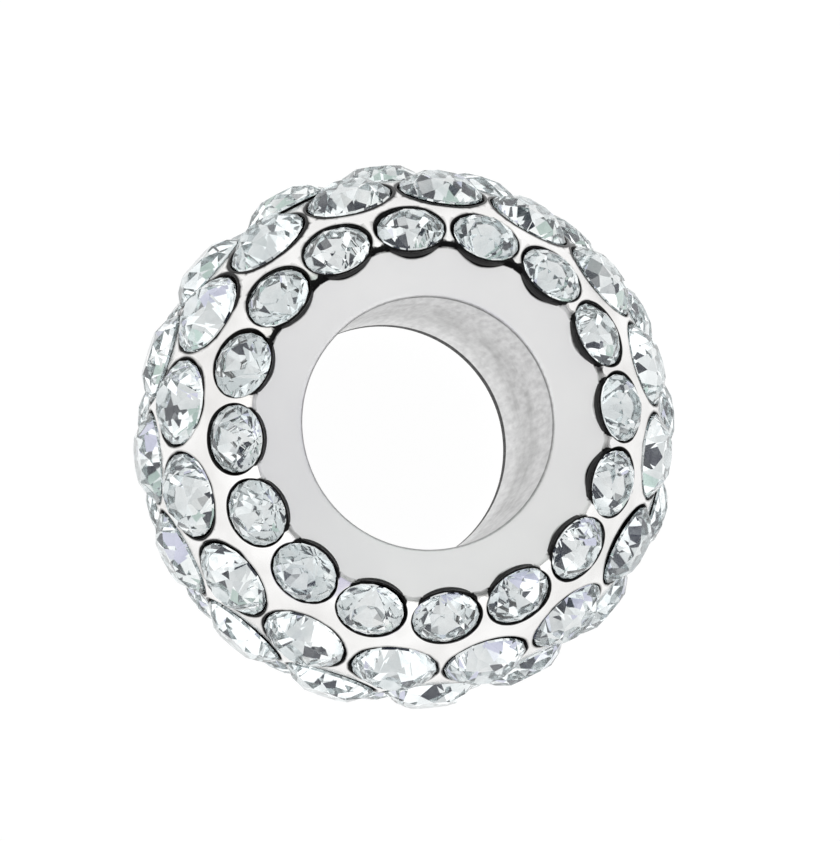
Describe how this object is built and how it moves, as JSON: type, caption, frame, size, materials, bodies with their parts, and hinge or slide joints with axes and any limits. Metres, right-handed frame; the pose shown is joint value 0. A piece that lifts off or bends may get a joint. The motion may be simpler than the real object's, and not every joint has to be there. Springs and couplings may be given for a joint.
{
  "type": "charm bead",
  "caption": "Round pave charm bead with a wide plain bore, dished ends and rings of brilliant-cut crystals set in a cast body.",
  "frame": {"origin": "middle of the bore, half way along it", "axes": "+Z along the bore, up as the bead rests on one end; a crystal of the middle ring faces +X"},
  "size_m": [0.0108, 0.0108, 0.0074],
  "materials": {
    "polished_silver": "polished, with satin dishes and bore",
    "crystal": "clear cut glass with a foiled back"
  },
  "bodies": {
    "root": {"bead_body": "polished_silver", "crystals": "crystal"}
  },
  "joints": []
}
